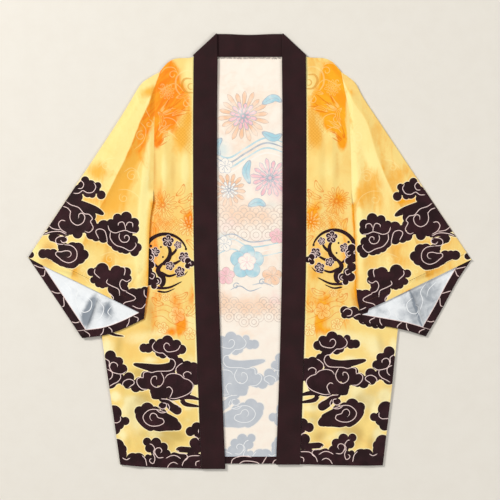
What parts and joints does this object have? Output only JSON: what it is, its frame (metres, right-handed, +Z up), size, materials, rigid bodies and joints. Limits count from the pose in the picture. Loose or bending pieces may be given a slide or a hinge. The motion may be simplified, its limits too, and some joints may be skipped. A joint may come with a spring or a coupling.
{
  "type": "kimono jacket",
  "caption": "Loose open kimono jacket laid flat, with wide sleeves folded down at its sides and a plain dark collar band round the neck and down both fronts.",
  "frame": {"origin": "middle of the laid out garment's outline, on the surface that it lies on", "axes": "+Z up from that surface, +Y from the hem to the neck, +X to the viewer's right as the open front is seen from above"},
  "size_m": [0.775, 0.7622, 0.0103],
  "materials": {
    "printed_cloth": "light printed polyester, soft satin sheen",
    "back_cloth": "pale inside face of the printed cloth",
    "band_cloth": "plain dark brown doubled cloth, matt"
  },
  "bodies": {
    "root": {"back": "back_cloth", "front_left": "printed_cloth", "front_right": "printed_cloth", "sleeve_left": "printed_cloth", "sleeve_right": "printed_cloth", "collar_band": "band_cloth"}
  },
  "joints": []
}
